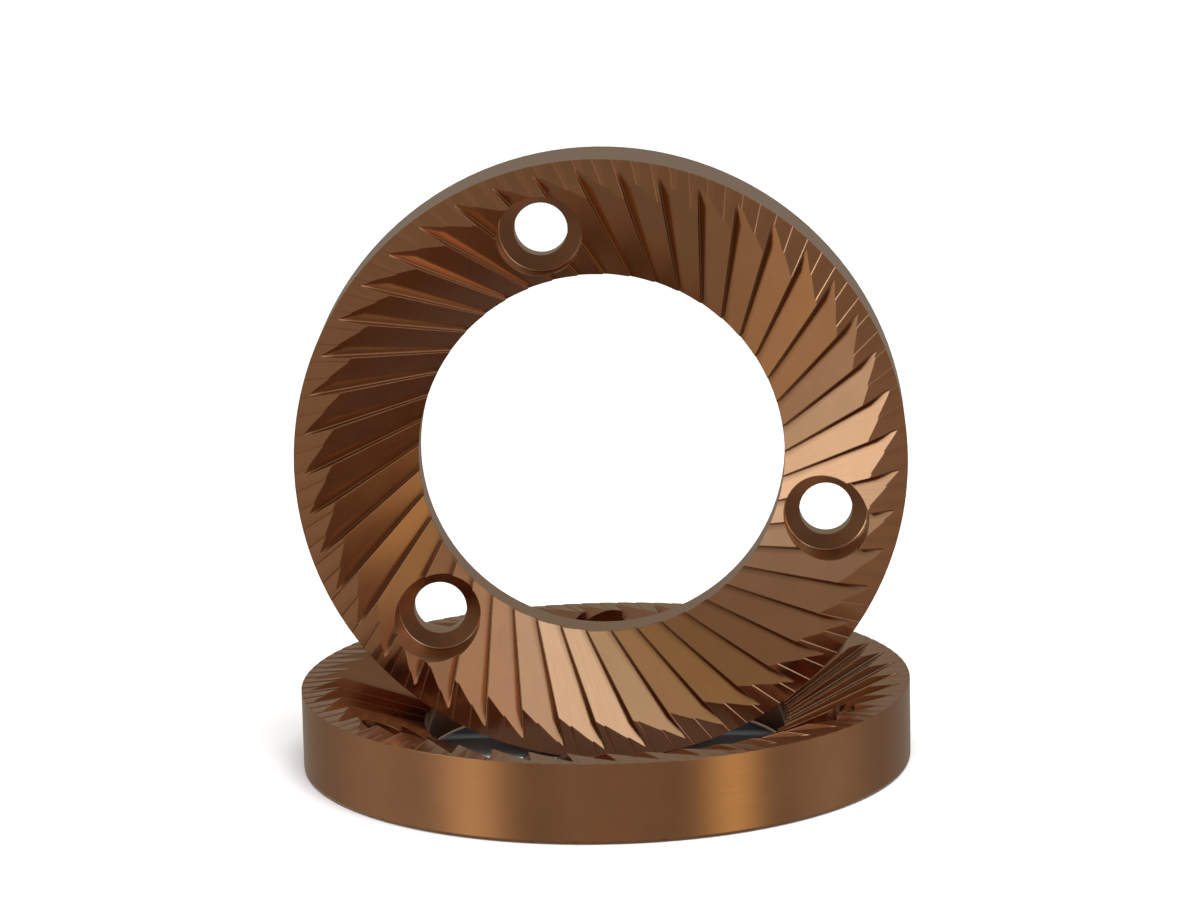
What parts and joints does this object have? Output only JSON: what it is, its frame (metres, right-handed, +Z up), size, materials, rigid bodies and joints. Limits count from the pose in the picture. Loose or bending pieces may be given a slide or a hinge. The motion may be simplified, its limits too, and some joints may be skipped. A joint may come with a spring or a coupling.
{
  "type": "flat coffee grinder burr pair",
  "caption": "Matched pair of flat toothed grinding burrs, bronze-coated steel rings with open centres and counterbored screw holes; one lies flat, one stands in its bore.",
  "frame": {"origin": "middle of the lying burr's back face, on the surface both burrs stand on", "axes": "+Z up, out of the lying burr's toothed face; -Y is the front, where the standing burr's toothed face points; +X to the right seen from the front"},
  "size_m": [0.064, 0.064, 0.064],
  "materials": {
    "coated_steel_lower": "milled steel under a thin satin bronze-brown hard coating",
    "coated_steel_upper": "milled steel under a thin satin bronze-brown hard coating"
  },
  "bodies": {
    "lower_burr": {"lower_burr": "coated_steel_lower"},
    "upper_burr": {"upper_burr": "coated_steel_upper"}
  },
  "joints": [
    {"name": "upper_burr_spin", "type": "hinge", "parent": "lower_burr", "child": "upper_burr", "pos_m": [0, 0.0031, 0.032], "axis": [0, -1, 0], "continuous": true}
  ]
}
